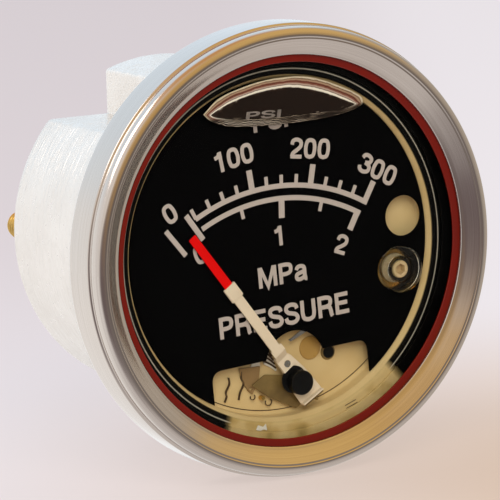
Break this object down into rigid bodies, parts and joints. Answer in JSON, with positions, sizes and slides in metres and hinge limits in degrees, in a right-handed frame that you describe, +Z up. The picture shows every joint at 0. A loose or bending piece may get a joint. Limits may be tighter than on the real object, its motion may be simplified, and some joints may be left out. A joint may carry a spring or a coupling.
{
  "type": "pressure switch",
  "caption": "Round panel pressure gauge with a built-in adjustable limit switch: polished bezel, black dial, swinging pointer, threaded rear connection and terminal studs.",
  "frame": {"origin": "centre of the flat seat behind the bezel, on the case axis", "axes": "the dial faces -Y, the barrel and the pressure connection run to +Y, +X is to the right on the dial, +Z is up"},
  "size_m": [0.076, 0.0659, 0.076],
  "materials": {
    "case_metal": "cast, bead blasted",
    "bezel_steel": "polished stainless steel",
    "lens_plastic": "clear polycarbonate",
    "red_rubber": "smooth",
    "black_rubber": "smooth",
    "pan_paint": "yellow passivated steel, satin",
    "dial_black": "matt black with screen-printed scale",
    "pointer_steel": "satin",
    "red_paint": "gloss red",
    "black_plastic": "satin",
    "steel": "turned",
    "brass": "turned",
    "bronze": "dull",
    "nylon": "moulded",
    "diaphragm_rubber": "moulded"
  },
  "bodies": {
    "housing": {"case": "case_metal", "bezel": "bezel_steel", "lens_gasket": "red_rubber", "lens": "lens_plastic", "rear_gasket": "black_rubber", "pan": "pan_paint", "dial": "dial_black", "dial_standoffs": "brass", "stop_pin": "brass", "anchor_block": "nylon", "leaf_springs": "pan_paint", "bracket_rivets": "brass", "cover_plug": "bronze", "adjuster_oring": "black_rubber", "movement_bracket": "brass", "rocker_pin": "steel", "range_spring": "steel", "diaphragm": "diaphragm_rubber", "pressure_housing": "brass", "housing_cover": "steel", "cover_screws": "steel", "connection": "brass", "connection_seal": "black_rubber", "terminal_studs": "brass", "inner_insulators": "nylon", "outer_insulators": "nylon", "terminal_washers": "steel", "terminal_nuts": "brass", "lead_strip": "brass"},
    "pointer": {"pointer_tip": "red_paint", "pointer_blade": "pointer_steel", "pointer_plate": "pointer_steel", "pointer_rivet": "pointer_steel", "hub_cap": "black_plastic", "arbor": "steel", "arbor_crank": "brass", "contact_lever": "bronze", "hairspring": "bronze"},
    "adjuster": {"adjuster_shaft": "steel", "adjuster_bush": "nylon", "limit_arm": "brass", "limit_contact": "steel"},
    "rocker": {"rocker": "bronze"},
    "plunger": {"plunger_rod": "steel", "piston_plate": "steel"}
  },
  "joints": [
    {"name": "plunger_slide", "type": "slide", "parent": "housing", "child": "plunger", "axis": [0, -1, 0], "range_m": [0, 0.00206], "stiffness_N_per_m": 600, "springref_m": -0.002, "deforming": ["range_spring"]},
    {"name": "rocker_swing", "type": "hinge", "parent": "housing", "child": "rocker", "pos_m": [0, 0.014, -0.012], "axis": [1, 0, 0], "range_deg": [0, 9.9]},
    {"name": "pointer_turn", "type": "hinge", "parent": "housing", "child": "pointer", "pos_m": [0.0029, 0, -0.023], "axis": [0, 1, 0], "range_deg": [0, 65.2]},
    {"name": "adjuster_turn", "type": "hinge", "parent": "housing", "child": "adjuster", "pos_m": [0.0227, 0, -0.0059], "axis": [0, 1, 0], "range_deg": [-15, 6]}
  ],
  "couplings": [
    {"joint": "rocker_swing", "follows": "plunger_slide", "rad_per_m": 83.45},
    {"joint": "pointer_turn", "follows": "plunger_slide", "rad_per_m": 550.7}
  ]
}
